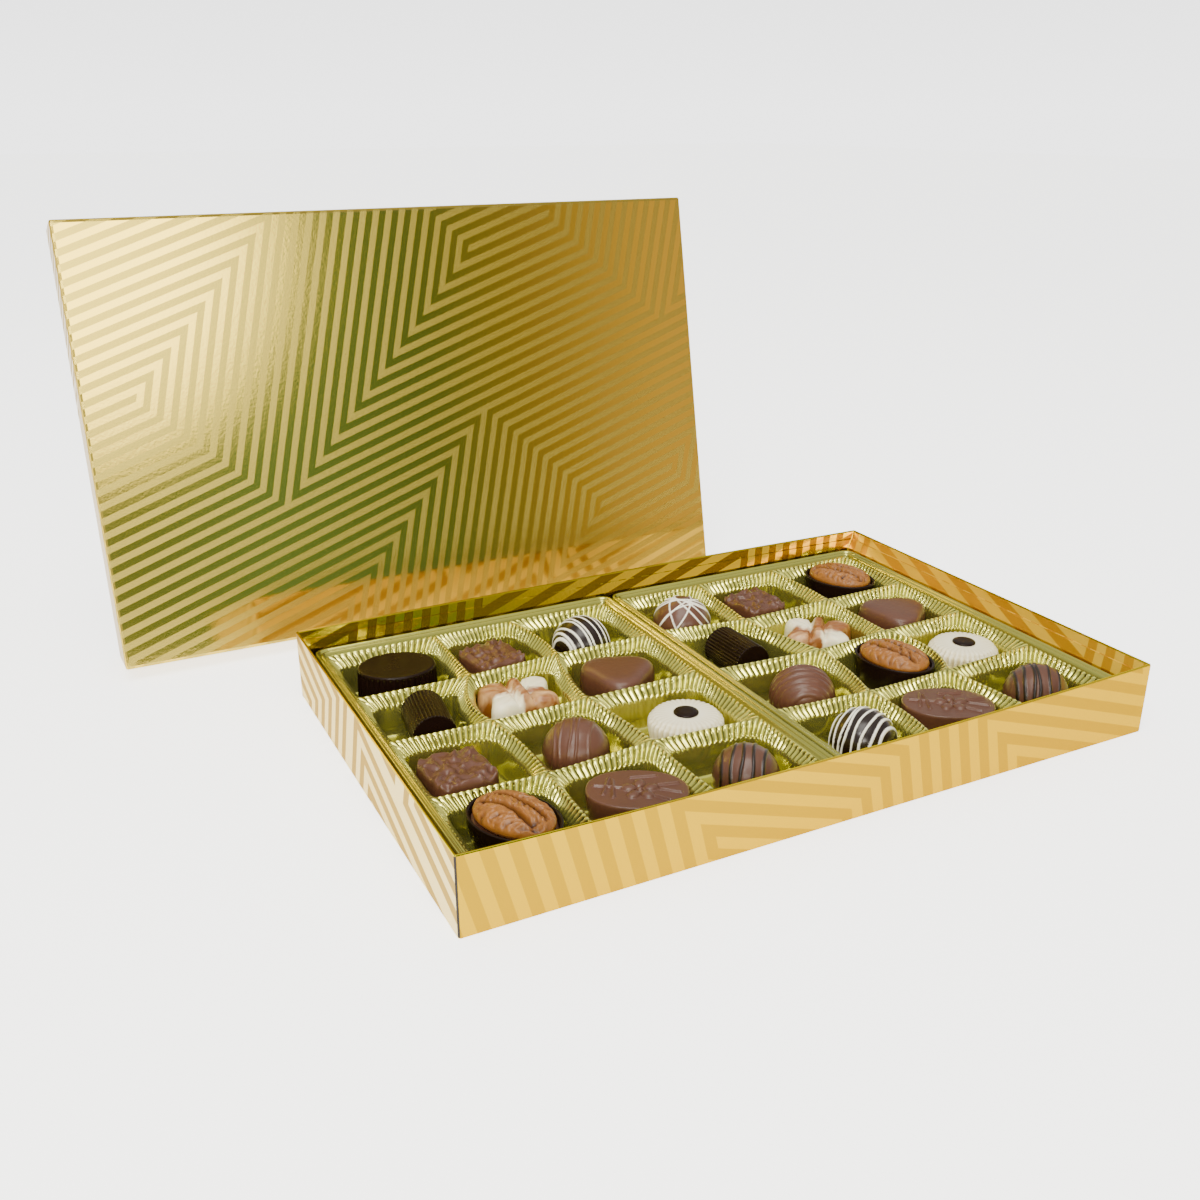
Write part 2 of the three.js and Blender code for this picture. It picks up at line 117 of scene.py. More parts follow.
# Each ramp runs over one part of the direction. A stop is that part's value and the room's colour there.
ROOM_BY_HEIGHT = [
    (0.0, "#F4F4F4"), (0.08, "#E6E6E6"), (0.2, "#7C7C78"), (0.45, "#6C6C68"), (0.8, "#92928E"),
    (1.0, "#A0A09C")]
ROOM_BEHIND_CAMERA = [
    (-1.0, "#A8A8A4"), (-0.3, "#A8A8A0"), (0.06, "#4A5C54"), (0.16, "#466260"), (0.3, "#3A4C42"),
    (0.38, "#625A40"), (0.47, "#968260"), (0.7, "#857A68"), (1.0, "#948A80")]
ramps = []
for part, stops in (("Z", ROOM_BY_HEIGHT), ("X", ROOM_BEHIND_CAMERA)):
    lowest = stops[0][0]
    share = add_node(tree, "MapRange", {"Value": direction.outputs[part], "From Min": lowest})
    ramp = add_node(tree, "ValToRGB", {0: share.outputs[0]})
    while len(ramp.color_ramp.elements) < len(stops):
        ramp.color_ramp.elements.new(0.5)
    for element, (value, colour) in zip(ramp.color_ramp.elements, stops):
        element.position = (value - lowest) / (1 - lowest)
        element.color = linear(colour)
    ramps.append(ramp.outputs["Color"])

# The things behind the camera are seen backward and low, and the rest of the room everywhere else.
backward = add_node(tree, "MapRange", {
    "Value": direction.outputs["Y"], "From Min": -0.2, "From Max": -0.65}, interpolation_type="SMOOTHSTEP")
low = add_node(tree, "MapRange", {
    "Value": direction.outputs["Z"], "From Min": 0.5, "From Max": 0.28}, interpolation_type="SMOOTHSTEP")
unlit = add_node(tree, "Math", {0: backward.outputs[0], 1: low.outputs[0]}, operation="MULTIPLY")
room = add_node(tree, "Mix", {"Factor": unlit.outputs[0], 6: ramps[0], 7: ramps[1]}, data_type="RGBA")

# A bright window behind the camera leaves a warm glare on the upper left of the lid.
WINDOW_DIRECTION = (0.03, -0.945, 0.325)
WINDOW_EDGE, WINDOW_CORE, WINDOW_POWER = 0.978, 0.998, 2.6
WINDOW_COLOUR = (1.0, 0.97, 0.88)
toward_window = add_node(tree, "VectorMath", {0: toward, 1: WINDOW_DIRECTION}, operation="DOT_PRODUCT")
glare = add_node(tree, "MapRange", {
    "Value": toward_window.outputs["Value"], "From Min": WINDOW_EDGE, "From Max": WINDOW_CORE,
    "To Max": WINDOW_POWER}, interpolation_type="SMOOTHSTEP")
glare_colour = add_node(tree, "VectorMath", {0: WINDOW_COLOUR, "Scale": glare.outputs[0]}, operation="SCALE")
lit_room = add_node(tree, "VectorMath", {0: room.outputs[2], 1: glare_colour.outputs[0]}, operation="ADD")

# The camera itself sees a plain pale backdrop on all sides. Only light and reflections come from the room.
BACKDROP_TOP = 0.08
climb = add_node(tree, "MapRange", {"Value": direction.outputs["Z"], "From Max": BACKDROP_TOP})
backdrop = add_node(tree, "Mix", {
    "Factor": climb.outputs[0], 6: linear("#F4F4F4"), 7: linear("#E6E6E6")}, data_type="RGBA")
seen = add_node(tree, "Mix", {
    "Factor": add_node(tree, "LightPath").outputs["Is Camera Ray"], 6: lit_room.outputs[0],
    7: backdrop.outputs[2]}, data_type="RGBA")
background = add_node(tree, "Background", {"Color": seen.outputs[2], "Strength": WORLD_STRENGTH})
tree.links.new(background.outputs[0], add_node(tree, "OutputWorld").inputs["Surface"])


def area_light(name, place, target, size, power, colour):
    """A square lamp of a size at a place, both in metres, turned to a target."""
    lamp = bpy.data.lights.new(name, "AREA")
    lamp.size = size
    lamp.energy = power
    lamp.color = linear(colour)[:3]
    thing = bpy.data.objects.new(name, lamp)
    thing.location = place
    away = np.array(place, float) - np.array(target, float)
    flat = math.hypot(away[0], away[1])
    thing.rotation_euler = (math.atan2(flat, away[2]), 0, math.atan2(away[0], -away[1]))
    bpy.context.scene.collection.objects.link(thing)


area_light("lamp_left_of_camera", (-0.72, -1.1, 0.62), (-0.05, 0.05, 0.05), 0.42, 13.0, "#FFFBEE")
area_light("lamp_small_and_hard", (-0.6, -0.5, 0.95), (0, 0, 0), 0.1, 3.5, "#FFFDF6")
area_light("lamp_overhead", (-0.25, -0.35, 1.6), (0, 0.05, 0), 0.9, 19.0, "#FFFCF4")

# Camera
# The camera stands left of the box and looks down on it, as solved from the box's four rim corners.
# Its lens is a little wider than a standard one.
eye = bpy.data.cameras.new("camera")
eye.lens = 36.64
eye.sensor_width = 36.0
camera = bpy.data.objects.new("camera", eye)
camera.location = (-0.2779, -0.4342, 0.2629)
camera.rotation_euler = (math.radians(68.156), math.radians(0.1), math.radians(-27.034))
bpy.context.scene.collection.objects.link(camera)
bpy.context.scene.camera = camera

# Box
# Card folded up at the corners and covered with gold foil, printed with nested slanted bands in two tones.
# Its long walls bow out a little between the corners, and its rim is a thin bright fold.

# The print's map has one unit for each 100 mm of card.
PRINT_UNIT = 100.0
BAND_SHARE = 0.5
BAND_EDGE_BLUR = 0.015
FOIL_GRAIN_MM = 1.4


def band_mask(tree, points, angles, pitch, tile, shift, stagger):
    """Nested slanted parallelograms: 1 between the bands and 0 on a band. Sizes are in the map's units.

    Two shifted distances are measured square to the band directions. The first is cut into rows, each
    row slides the second by the stagger, and both are folded into tiles. The larger of the two, counted
    from the tile's middle, is folded again at the pitch to give the bands.
    """
    distances = []
    for angle, start in zip(angles, shift):
        normal = (-math.sin(angle), math.cos(angle), 0)
        square_to = add_node(tree, "VectorMath", {0: points, 1: normal}, operation="DOT_PRODUCT")
        shifted = add_node(tree, "Math", {0: square_to.outputs["Value"], 1: start}, operation="ADD")
        distances.append(shifted.outputs[0])
    across, along = distances
    rows = add_node(tree, "Math", {0: across, 1: tile[0]}, operation="DIVIDE")
    row = add_node(tree, "Math", {0: rows.outputs[0]}, operation="ROUND")
    slide = add_node(tree, "Math", {0: row.outputs[0], 1: stagger}, operation="MULTIPLY")
    slid = add_node(tree, "Math", {0: along, 1: slide.outputs[0]}, operation="ADD")
    in_row = add_node(tree, "Math", {0: across, 1: tile[0] / 2}, operation="PINGPONG")
    in_tile = add_node(tree, "Math", {0: slid.outputs[0], 1: tile[1] / 2}, operation="PINGPONG")
    longer = (tile[1] - tile[0]) / 2
    evened = add_node(tree, "Math", {0: in_tile.outputs[0], 1: longer}, operation="SUBTRACT")
    nest = add_node(tree, "Math", {0: in_row.outputs[0], 1: evened.outputs[0]}, operation="MAXIMUM")
    wave = add_node(tree, "Math", {0: nest.outputs[0], 1: pitch / 2}, operation="PINGPONG")
    edge = pitch / 2 * BAND_SHARE
    blur = pitch * BAND_EDGE_BLUR
    return add_node(tree, "MapRange", {
        "Value": wave.outputs[0], "From Min": edge - blur, "From Max": edge + blur}).outputs[0]


def foil_material(name, colours, angles, pitch, tile, shift, stagger, roughness, metal, grain):
    """Foil or foil print with bands. Pairs come in the order band, ground, and sizes are in millimetres.

    Pressed paper fibres leave a grain in foil. The real one is finer than a tenth of a millimetre, too
    fine to show, so its bumps are drawn 1.4 mm wide.
    """
    material, tree, surface = new_material(name)
    uv = add_node(tree, "UVMap", uv_map="card").outputs["UV"]
    mask = band_mask(
        tree, uv, angles, pitch / PRINT_UNIT, [size / PRINT_UNIT for size in tile],
        [size / PRINT_UNIT for size in shift], stagger / PRINT_UNIT)
    band, ground = (linear(colour) for colour in colours)
    colour = add_node(tree, "Mix", {"Factor": mask, 6: band, 7: ground}, data_type="RGBA")
    rough = add_node(tree, "Mix", {"Factor": mask, 2: roughness[0], 3: roughness[1]})
    place = add_node(tree, "TexCoord").outputs["Object"]
    noise = add_node(tree, "TexNoise", {"Vector": place, "Scale": 1000 / FOIL_GRAIN_MM, "Detail": 2.0})
    bump = add_node(tree, "Bump", {"Height": noise.outputs[0], "Strength": grain, "Distance": 0.0002})
    shader = add_node(tree, "BsdfPrincipled", {
        "Base Color": colour.outputs[2], "Roughness": rough.outputs[0], "Metallic": metal,
        "Specular Tint": colour.outputs[2], "Normal": bump.outputs[0]})
    tree.links.new(shader.outputs[0], surface)
    return material


STEEP, SHALLOW = math.radians(75), math.radians(19)
# Matt gold print in two close tones on foil: a satin gold that glows evenly, with bands 5 mm wide.
gold_print = foil_material(
    "gold_printed_card", ("#BC9600", "#A48000"), (-SHALLOW, -STEEP), 10, (150, 190), (12, 35), 70,
    (0.4, 0.36), 1.0, 0.2)
# Painted light: a paler, lit copy of the same print for the left and back walls, with pale cream bands on a
# light tan gold.
print_painted_lit = foil_material(
    "printed_card_painted_lit", ("#E6D49E", "#B49C62"), (SHALLOW, math.radians(-70)), 10.5, (130, 150), (30, 50),
    60, (0.45, 0.36), 0.85, 0.2)
# Bare mirror foil with darker printed bands: it shows the tray and the room, bright beside dark.
mirror_inside = foil_material(
    "gold_mirror_foil", ("#DAC42E", "#826A0E"), (SHALLOW, STEEP), 9, (90, 120), (20, 40), 40, (0.1, 0.24),
    1.0, 0.08)
# The same foil, rougher where the right wall leans in, and painted brighter as a lit copy: soft warm gold
# with faint bands.
foil_painted_lit_inside = foil_material(
    "gold_foil_painted_lit_inside_the_right_wall", ("#F8CE34", "#DEA414"), (SHALLOW, STEEP), 10, (90, 120), (20, 40),
    40, (0.42, 0.32), 0.96, 0.08)
# Painted shade: bare grey card painted near black, for the shaded slit between two folded walls, which reads
# as a dark line.
painted_corner_shade, tree, surface = new_material("painted_shade_in_the_corner_slit")
corner_shade_shader = add_node(tree, "BsdfPrincipled", {"Base Color": linear("#1A120A"), "Roughness": 0.8})
tree.links.new(corner_shade_shader.outputs[0], surface)


def rectangle_ring(half_x, half_y, z, corner, side, bow=0.0):
    """A rounded rectangle as a ring of points, anticlockwise from above.

    Each side is split evenly, and corner is the corners' radius. The long sides move outwards by bow
    times one minus the square of how far along from the middle the point is.
    """
    turn = np.linspace(0, math.pi / 2, 4)
    straight = np.linspace(1, -1, side + 2)[1:-1]
    inner_x, inner_y = half_x - corner, half_y - corner
    runs = []
    for quarter, (sx, sy) in enumerate(((1, 1), (-1, 1), (-1, -1), (1, -1))):
        arc = turn + quarter * math.pi / 2
        runs.append(np.stack([sx * inner_x + corner * np.cos(arc), sy * inner_y + corner * np.sin(arc)], 1))
        if quarter % 2 == 0:
            runs.append(np.stack([sx * straight * inner_x, np.full(side, sy * half_y)], 1))
        else:
            runs.append(np.stack([np.full(side, sx * half_x), sy * straight * inner_y], 1))
    flat = np.concatenate(runs)
    on_long_side = np.abs(flat[:, 1]) > half_y * 0.98
    swell = 1 - np.minimum(1, np.abs(flat[:, 0]) / half_x) ** 2
    flat[:, 1] += np.sign(flat[:, 1]) * bow * swell * on_long_side
    return np.column_stack([flat, np.full(len(flat), z)])


def closed_faces(rings, count):
    """Quads between neighbouring rings and triangles from a middle point to the first and the last ring."""
    i, j = np.meshgrid(np.arange(rings - 1), np.arange(count), indexing="ij")
    after = (j + 1) % count
    quads = np.stack([i * count + j, i * count + after, (i + 1) * count + after, (i + 1) * count + j], -1)
    j = np.arange(count)
    after = (j + 1) % count
    first = np.stack([np.full(count, rings * count), after, j], 1)
    start = (rings - 1) * count
    last = np.stack([np.full(count, rings * count + 1), start + j, start + after], 1)
    return [quads.reshape(-1, 4), first, last]


def closed_points(rings):
    """The rings' points in order, with the middle of the first and of the last ring added at the end."""
    rings = np.asarray(rings, float)
    return np.concatenate([rings.reshape(-1, 3), rings[0].mean(0)[None], rings[-1].mean(0)[None]])


def card_uv(mesh, local_mm):
    """Lays the print flat on each panel: along by height on a wall, and along by across on a level panel.

    The way a face turns is the cross product of its first two edges.
    """
    corners = np.zeros(len(mesh.loops), np.int32)
    mesh.loops.foreach_get("vertex_index", corners)
    sizes = np.zeros(len(mesh.polygons), np.int32)
    mesh.polygons.foreach_get("loop_total", sizes)
    points = local_mm[corners] / PRINT_UNIT
    starts = np.cumsum(sizes) - sizes
    first, second, third = (points[starts + step] for step in range(3))
    facing = np.abs(np.repeat(np.cross(second - first, third - second), sizes, 0))
    level = facing[:, 2] > np.maximum(facing[:, 0], facing[:, 1])
    end_wall = (facing[:, 0] > facing[:, 1]) & ~level
    along = np.where(end_wall, points[:, 1], points[:, 0])
    up = np.where(level, -points[:, 1], points[:, 2])
    layer = mesh.uv_layers.new(name="card")
    layer.data.foreach_set("uv", np.stack([along, up], 1).astype(np.float32).ravel())


# The profile runs from the foot up the outside, over the rim and down the inside. A level is an inset from
# the outline, a height and a share of the long walls' bow. Three of its levels start a new side.
BOX_HALF_X, BOX_HALF_Y, BOX_HEIGHT = 165.0, 105.65, 33.7
BOX_PROFILE = [
    (0.5, 0.0, 0.0), (0.1, 0.15, 0.0), (0.0, 0.6, 0.0), (0.0, 17.0, 0.5), (0.0, 33.2, 1.0),
    (0.15, 33.6, 1.0), (0.5, 33.7, 1.0), (0.9, 33.6, 1.0), (1.15, 33.1, 1.0), (1.6, 29.4, 0.7),
    (2.1, 29.2, 0.7), (2.6, 24.4, 0.3), (2.9, 10.0, 0.0), (2.9, 1.2, 0.0)]
WALL_START, RIM_START, INNER_START = 2, 4, 8
WALL_BOW = 2.6
box_rings = [
    rectangle_ring(BOX_HALF_X - inset, BOX_HALF_Y - inset, z, 0.7, 24, WALL_BOW * bow)
    for inset, z, bow in BOX_PROFILE]
ring_count = len(box_rings[0])
box_points = closed_points(box_rings)

# The right wall's inner side leans in until it meets the tray's lip, and the front rim sags a little.
LEAN_TOP, LEAN_DEPTH, LEAN_IN = 31, 5, 3.1
FRONT_SAG = 1.0
inner = np.repeat(np.arange(len(box_rings)) >= INNER_START, ring_count)
inner = np.concatenate([inner, [False, False]]) & (box_points[:, 0] > BOX_HALF_X - 4)
box_points[inner, 0] -= np.clip((LEAN_TOP - box_points[inner, 2]) / LEAN_DEPTH, 0, 1) * LEAN_IN
sag = np.clip(box_points[:, 2] / BOX_HEIGHT, 0, 1) * (1 - (box_points[:, 0] / BOX_HALF_X) ** 2)
box_points[:, 2] -= FRONT_SAG * sag * (box_points[:, 1] < -BOX_HALF_Y * 0.9)

box_faces = closed_faces(len(box_rings), ring_count)
card_box = mesh_object("card_box", box_points, box_faces, gold_print, smooth=False)
card_uv(card_box.data, box_points)
for material in (print_painted_lit, mirror_inside, painted_corner_shade, foil_painted_lit_inside):
    card_box.data.materials.append(material)
GOLD, PAINTED_LIT, MIRROR, PAINTED_SHADE, PAINTED_BRIGHT = range(5)
centres = box_points[box_faces[0]].mean(1)
ring_of_quad = np.repeat(np.arange(len(box_rings) - 1), ring_count)
# Painted light: the left and back walls take the paler, lit copy of the print.
painted_lit_side = (centres[:, 0] < -BOX_HALF_X * 0.99) | (centres[:, 1] > BOX_HALF_Y * 0.99)
kinds = np.where(ring_of_quad >= RIM_START, MIRROR, np.where(painted_lit_side, PAINTED_LIT, GOLD))
near_corner = np.hypot(centres[:, 0] + BOX_HALF_X, centres[:, 1] + BOX_HALF_Y) < 1.0
# Painted shade: the outer wall faces within 1 mm of the front left corner take the near-black material.
kinds[near_corner & (ring_of_quad >= WALL_START) & (ring_of_quad < RIM_START)] = PAINTED_SHADE
# Painted light: the right wall's inner side takes the brighter, lit copy of the mirror foil.
kinds[(centres[:, 0] > BOX_HALF_X - 8) & (ring_of_quad >= INNER_START)] = PAINTED_BRIGHT
kinds = np.concatenate([kinds, np.full(ring_count, GOLD), np.full(ring_count, MIRROR)]).astype(np.int32)
card_box.data.polygons.foreach_set("material_index", kinds)

# The rim is all one tone: its corners of the map lie together in the middle of a band.
rim_corners = np.flatnonzero(np.repeat((ring_of_quad >= RIM_START) & (ring_of_quad < INNER_START), 4))
print_layer = card_box.data.uv_layers["card"].data
places = np.zeros(len(print_layer) * 2, np.float32)
print_layer.foreach_get("uv", places)
places = places.reshape(-1, 2)
places[rim_corners] = (0.05, 0.0)
print_layer.foreach_set("uv", places.ravel())
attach(card_box, "root")
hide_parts("box_base")

# Lid
# The same card, with mirror bands stamped through a matt gold print on its face and its walls.
# It stands on the back rim of its lower wall and leans back, with its face to the front.

# Mirror foil beside satin print, 3.3 mm wide each: the mirror shows the room's darks, the print stays gold.
lid_foil = foil_material(
    "lid_gold_foil", ("#B29C46", "#C8AC4A"), (SHALLOW, STEEP), 6.6, (158.4, 198), (90, 133), 99,
    (0.25, 0.08), 1.0, 0.06)
LID_HALF_X, LID_HALF_Y = 333.3 / 2, 214.6 / 2
LID_LEAN, LID_YAW = math.radians(11.8), math.radians(-0.66)
LID_FOOT_X, LID_FOOT_Y = -238.1, 158.6
LID_PROFILE = [
    (1.6, 0.0), (0.6, 0.1), (0.15, 0.5), (0.0, 1.4), (0.0, 17.0), (0.0, 33.4), (0.3, 33.7), (0.9, 33.7),
    (1.2, 33.3), (1.2, 17.0), (1.2, 1.2)]
lid_rings = [rectangle_ring(LID_HALF_X - inset, LID_HALF_Y - inset, z, 1.0, 24) for inset, z in LID_PROFILE]
lid_flat = closed_points(lid_rings)
# The lid is tipped up about its lower edge, turned about the upright axis and set down behind the box.
x, y, z = (lid_flat + [LID_HALF_X, -LID_HALF_Y, 0]).T
tip = -math.pi / 2 - LID_LEAN
y, z = y * math.cos(tip) - z * math.sin(tip), y * math.sin(tip) + z * math.cos(tip)
x, y = x * math.cos(LID_YAW) - y * math.sin(LID_YAW), x * math.sin(LID_YAW) + y * math.cos(LID_YAW)
lid_points = np.stack([x + LID_FOOT_X, y + LID_FOOT_Y, z + BOX_HEIGHT * math.sin(LID_LEAN)], 1)
lid_faces = closed_faces(len(lid_rings), len(lid_rings[0]))
card_lid = mesh_object("card_lid", lid_points, lid_faces, lid_foil, smooth=False)
card_uv(card_lid.data, lid_flat)
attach(card_lid, "root")
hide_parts("lid")

# Trays
# Thin plastic sheet, metallised a greenish gold, drawn into twelve deep pockets with a double-beaded lip.
# Upright pleats run round the upper part of every pocket and end in a jagged line over smooth walls.

# All in millimetres. ridge_x gives where the two long ridges cross each of the five lines from back to
# front, ridge_y where the three cross ridges meet each of the four sides from left to right, and bulge how
# far each long ridge bows to the right within each row.
TRAYS = {
    "left": {
        "middle": -79.8,
        "ridge_x": [[-19.7, 20], [-20.6, 25.3], [-28.5, 17], [-26.3, 23.5], [-27, 26]],
        "ridge_y": [[47, 46.5, 50, 50], [1.5, 0, 1, 2.5], [-48.5, -51, -46.5, -50]],
        "bulge": [[0, 3], [-5.5, -2], [2, 1], [0, -1]],
    },
    "right": {
        "middle": 79.2,
        "ridge_x": [[-26.5, 21.5], [-30.3, 24], [-18.8, 24], [-26.5, 20], [-29.8, 25.4]],
        "ridge_y": [[51, 44.5, 47.5, 49], [0, -3.5, 0.5, 2], [-47, -50.5, -49, -46]],
        "bulge": [[0, 1.5], [-1, 0], [2, 8], [2.5, 1]],
    },
}
INNER_X, INNER_Y = 74.2, 96.8

# Vacuum-metallised polystyrene sheet: a bright greenish gold that glints on every pleat. A point attribute
# paints
# shade into its colour: darker in the pleats' valleys, on the smooth lower walls and floors, and on the lip.
# Drawing the sheet leaves dents about 6 mm wide.
TRAY_DENT_MM = 6
metal_plastic, tree, surface = new_material("metallised_tray_plastic")
place = add_node(tree, "TexCoord").outputs["Object"]
crinkle = add_node(tree, "TexNoise", {"Vector": place, "Scale": 1000 / TRAY_DENT_MM, "Detail": 3.0})
crinkle_bump = add_node(tree, "Bump", {"Height": crinkle.outputs[0], "Strength": 0.045, "Distance": 0.0012})
painted_light = add_node(tree, "Attribute", attribute_name="painted_light")
# Painted shade: dark olive where the points' painted light is 0, bright gold where it is 1.
sheet_colour = add_node(tree, "Mix", {
    "Factor": painted_light.outputs["Fac"], 6: linear("#3A400A"), 7: linear("#F4EE78")}, data_type="RGBA")
shader = add_node(tree, "BsdfPrincipled", {
    "Base Color": sheet_colour.outputs[2], "Metallic": 0.86, "Roughness": 0.15,
    "Normal": crinkle_bump.outputs[0]})
tree.links.new(shader.outputs[0], surface)


def cell_place(tray, row, column, u, v):
    """Turns a pocket's own coordinates, from -1 to 1, into millimetres.

    The place is mixed from the pocket's four corner points by area, then moved sideways where a
    long ridge bows, most at the middle of its length.
    """
    x = y = 0
    for line, side, share in (
            (row, column, (1 - u) * (1 + v)), (row, column + 1, (1 + u) * (1 + v)),
            (row + 1, column, (1 - u) * (1 - v)), (row + 1, column + 1, (1 + u) * (1 - v))):
        x = x + [-INNER_X, *tray["ridge_x"][line], INNER_X][side] * share / 4
        y = y + [INNER_Y, *(ridge[side] for ridge in tray["ridge_y"]), -INNER_Y][line] * share / 4
    left_bow, right_bow = [0, *tray["bulge"][row], 0][column : column + 2]
    return x + (left_bow * (1 - u) + right_bow * (1 + u)) / 2 * (1 - v * v) + tray["middle"], y


def point_attribute(thing, name, values):
    """Gives a piece's points a number each, for its material to read."""
    layer = thing.data.attributes.new(name, "FLOAT", "POINT")
    layer.data.foreach_set("value", values.astype(np.float32))


# The pleats along each side of a pocket, and their heights and depths in millimetres.
PLEATS = 17
SIDE_POINTS = PLEATS * 6
RIDGE_TOP = 22
PLEAT_LEVELS = (21.6, 21.0, 20.2, 19.3, 18.4, 17.5, 16.6, 15.7, 14.8, 13.9)
PLEAT_CUT, SLOPE, WALL_INSET = 1.4, 0.8, 4.0


def pocket_rings(tray, row, column):
    """One pocket as rings from the middle of the ridges round it to the middle of its floor.

    A ring is a rounded square inset from the ridges. Down the pleated part the inset grows with
    depth, less where the pleats are cut in, and it stops at the inset of the smooth lower wall.
    A pleat is a triangle wave along the side. The second result paints shade into the colour: it is 0 in
    the pleats' valleys and 1 on their crests, and lower on what is smooth and in shade.
    """
    step = np.linspace(-1, 1, SIDE_POINTS, endpoint=False)
    one = np.ones(SIDE_POINTS)
    square_u = np.concatenate([one, -step, -one, step])
    square_v = np.concatenate([step, one, -step, -one])
    position = np.tile((step + 1) / 2, 4)
    pleat = 1 - np.abs(2 * (position * PLEATS % 1) - 1)
    side_phase = np.repeat(np.arange(4), SIDE_POINTS) * 1.7
    uneven = 0.5 + 0.5 * np.sin(position * 23.0 + row * 2 + column * 3 + side_phase)
    rounded = (np.abs(square_u) ** 8 + np.abs(square_v) ** 8) ** -0.125
    width = cell_place(tray, row, column, 1, 0)[0] - cell_place(tray, row, column, -1, 0)[0]
    depth = cell_place(tray, row, column, 0, 1)[1] - cell_place(tray, row, column, 0, -1)[1]
    rings, painted_light_values = [], []

    def add_ring(inset, z, round_share=1.0, pleated=0.0, light=1.0):
        shape = rounded * round_share + (1 - round_share)
        u = square_u * shape * (1 - 2 * inset / width)
        v = square_v * shape * (1 - 2 * inset / depth)
        x, y = cell_place(tray, row, column, u, v)
        rings.append(np.stack([x, y, np.broadcast_to(z, x.shape)], 1))
        # Painted shade: the colour darkens towards each pleat's valley and where the ring's light share is
        # low.
        painted_light_values.append(light - pleated * (1 - pleat) ** 1.2)

    add_ring(0, 21.9 - 0.5 * (1 - pleat), 0, 0.4, 0.8)
    for z in PLEAT_LEVELS:
        down = RIDGE_TOP - z
        slope = 0.2 + down * SLOPE
        cut = PLEAT_CUT * (1 - pleat) * min(1, down / 2)
        wall = WALL_INSET + (14 - z) * 0.02 + 0.3 * uneven
        pleated = np.clip((wall - slope + cut) * 1.5, 0, 1)
        add_ring(np.minimum(slope - cut, wall), z, min(1, down / 2), pleated, 1 - 0.35 * (1 - pleated))
    # Painted shade: the smooth lower wall and the floor are painted darker.
    for inset, z in ((4.3, 7.0), (4.6, 3.4), (5.6, 2.2), (8.4, 2.1)):
        add_ring(inset, z, light=0.6)
    return rings, painted_light_values


# The lip is one ring profile, by inset from the tray's outline and height, from the pockets over two beads
# to the outer edge.
TRAY_HALF_X, TRAY_HALF_Y = 79.2, 101.8
LIP_PROFILE = [
    (5.2, 20.8), (4.9, 21.9), (4.5, 22.5), (4.0, 23.3), (3.4, 23.7), (2.8, 23.3), (2.5, 22.9), (2.1, 23.4),
    (1.6, 24.1), (0.9, 24.3), (0.35, 24.0), (0.05, 23.2), (0.0, 21.5), (0.0, 18.6)]
# Painted shade: the lip takes one darker value of the painted light.
LIP_PAINTED_LIGHT = 0.42
for side, tray in TRAYS.items():
    blocks, painted_light_blocks, groups, start = [], [], [], 0
    for row in range(4):
        for column in range(3):
            rings, painted_light_values = pocket_rings(tray, row, column)
            quads, _, floor_triangles = closed_faces(len(rings), len(rings[0]))
            points = closed_points(rings)
            groups += [quads + start, floor_triangles + start]
            blocks.append(points)
            painted_light_blocks.append(np.concatenate([np.array(painted_light_values).ravel(), [1, 1]]))
            start += len(points)
    lip = np.array([
        rectangle_ring(TRAY_HALF_X - inset, TRAY_HALF_Y - inset, z, 5.6 - 0.8 * inset, 90)
        for inset, z in LIP_PROFILE])
    lip[:, :, 0] += tray["middle"]
    quads = closed_faces(len(lip), lip.shape[1])[0]
    groups.append(quads[:, ::-1] + start)
    blocks.append(lip.reshape(-1, 3))
    painted_light_blocks.append(np.full(lip.shape[0] * lip.shape[1], LIP_PAINTED_LIGHT))
    sheet = mesh_object(f"moulded_tray_{side}", np.concatenate(blocks), groups, metal_plastic)
    point_attribute(sheet, "painted_light", np.concatenate(painted_light_blocks))
    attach(sheet, "root")
    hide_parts(f"tray_{side}")

# Striped balls
# Balls dipped in milk or dark chocolate, with thin lines of melted chocolate poured across them.
# One has white strings in all directions, and one is ringed by soft ridges of its own chocolate.
POCKET_FLOOR = 2.4
CLOUD_MM = 11
SKIN_MM = 2.4


def chocolate(name, colours, roughness, drizzle=None, skin=0.25, shine=0.4):
    """Chocolate with a faintly uneven colour and skin, and a second colour where the line attribute is 1.

    Tempering leaves the colour faintly cloudy, in patches about 11 mm wide. The skin's own crystals are
    far too fine to show, so its unevenness is drawn 2.4 mm wide.
    """
    material, tree, surface = new_material(name)
    place = add_node(tree, "TexCoord").outputs["Object"]
    cloud = add_node(tree, "TexNoise", {
        "Vector": place, "Scale": 1000 / CLOUD_MM, "Detail": 4.0, "Roughness": 0.6})
    colour = add_node(tree, "Mix", {
        "Factor": cloud.outputs[0], 6: linear(colours[0]), 7: linear(colours[1])}, data_type="RGBA")
    if drizzle:
        line = add_node(tree, "Attribute", attribute_name="line")
        colour = add_node(tree, "Mix", {
            "Factor": line.outputs["Fac"], 6: colour.outputs[2], 7: linear(drizzle)}, data_type="RGBA")
    fine = add_node(tree, "TexNoise", {"Vector": place, "Scale": 1000 / SKIN_MM, "Detail": 3.0})
    bump = add_node(tree, "Bump", {"Height": fine.outputs[0], "Strength": skin, "Distance": 0.0004})
    gloss = add_node(tree, "MapRange", {
        "Value": cloud.outputs[0], "To Min": roughness - 0.06, "To Max": roughness + 0.08})
    shader = add_node(tree, "BsdfPrincipled", {
        "Base Color": colour.outputs[2], "Roughness": gloss.outputs[0], "Normal": bump.outputs[0],
        "Specular IOR Level": shine})
    tree.links.new(shader.outputs[0], surface)
    return material


